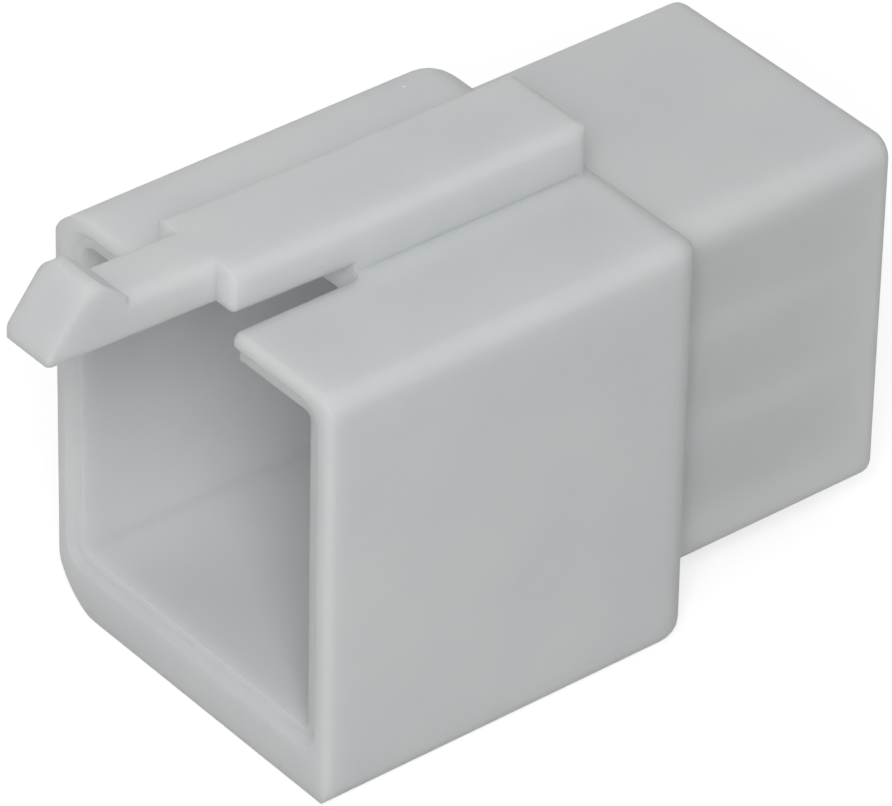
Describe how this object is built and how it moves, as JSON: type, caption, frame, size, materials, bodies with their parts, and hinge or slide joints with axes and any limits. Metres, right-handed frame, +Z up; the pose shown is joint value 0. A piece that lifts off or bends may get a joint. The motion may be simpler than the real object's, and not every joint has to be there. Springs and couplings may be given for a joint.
{
  "type": "wire to board connector housing",
  "caption": "Moulded nylon connector housing with a keyed shroud open at the front, a narrower contact block behind it and a lock arm with a catch reaching out over the mouth.",
  "frame": {"origin": "middle of the bounding box on the lower face of the shroud, the side opposite the lock arm", "axes": "+Y along the housing from the mouth to the rear face, +X across it toward the plain corners, +Z up from the lower face to the lock arm"},
  "size_m": [0.016, 0.0342, 0.0209],
  "materials": {
    "nylon": "natural polyamide, milky grey white and slightly translucent, with a fine satin surface"
  },
  "bodies": {
    "root": {"housing": "nylon"}
  },
  "joints": []
}
